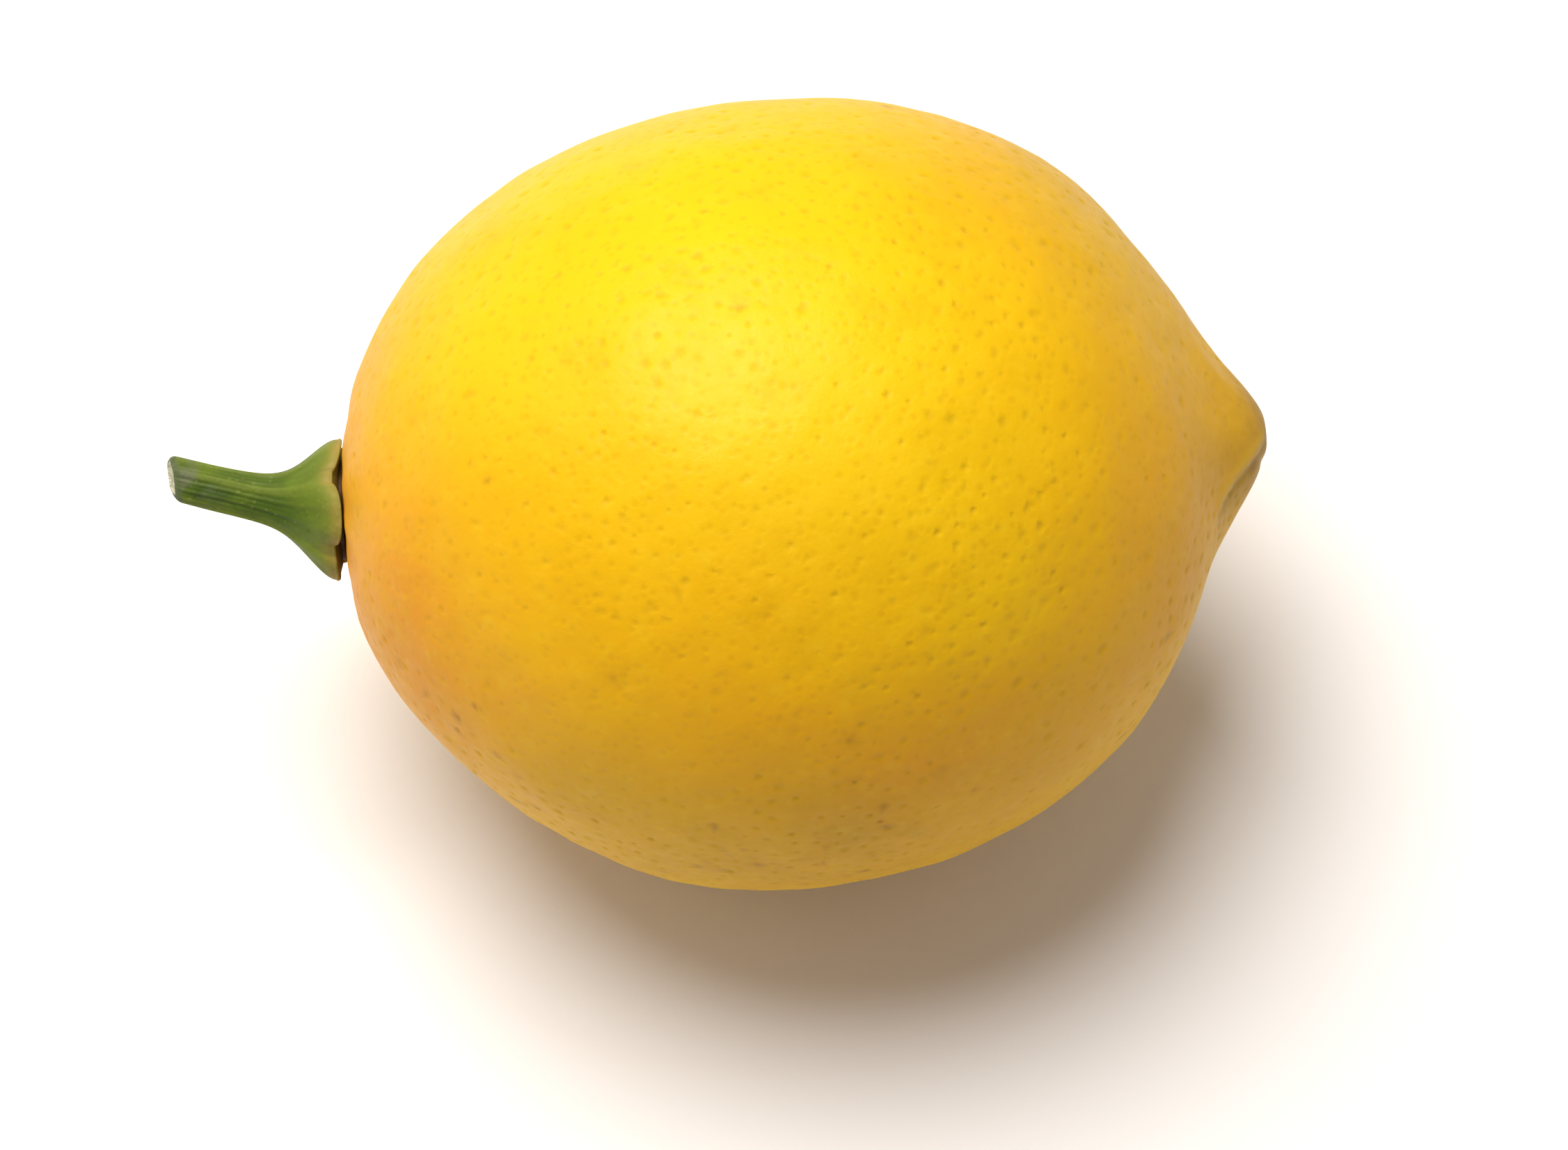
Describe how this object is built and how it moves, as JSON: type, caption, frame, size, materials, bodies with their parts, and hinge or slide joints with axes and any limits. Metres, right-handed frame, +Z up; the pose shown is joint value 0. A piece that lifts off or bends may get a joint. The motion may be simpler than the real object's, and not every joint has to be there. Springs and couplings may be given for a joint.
{
  "type": "lemon",
  "caption": "Whole yellow lemon with a nipple at one end and a short green stem with its calyx at the other, lying on its side.",
  "frame": {"origin": "centre of the flat spot that the fruit lies on, below its centre of mass", "axes": "+Z up from the surface that it lies on, +X along the fruit from the stem end to the nipple end"},
  "size_m": [0.0811, 0.0581, 0.0577],
  "materials": {
    "peel": "waxy pitted peel, satin",
    "stem_green": "matt green stem, dry at the calyx rim"
  },
  "bodies": {
    "root": {"fruit": "peel", "stem_with_calyx": "stem_green"}
  },
  "joints": []
}
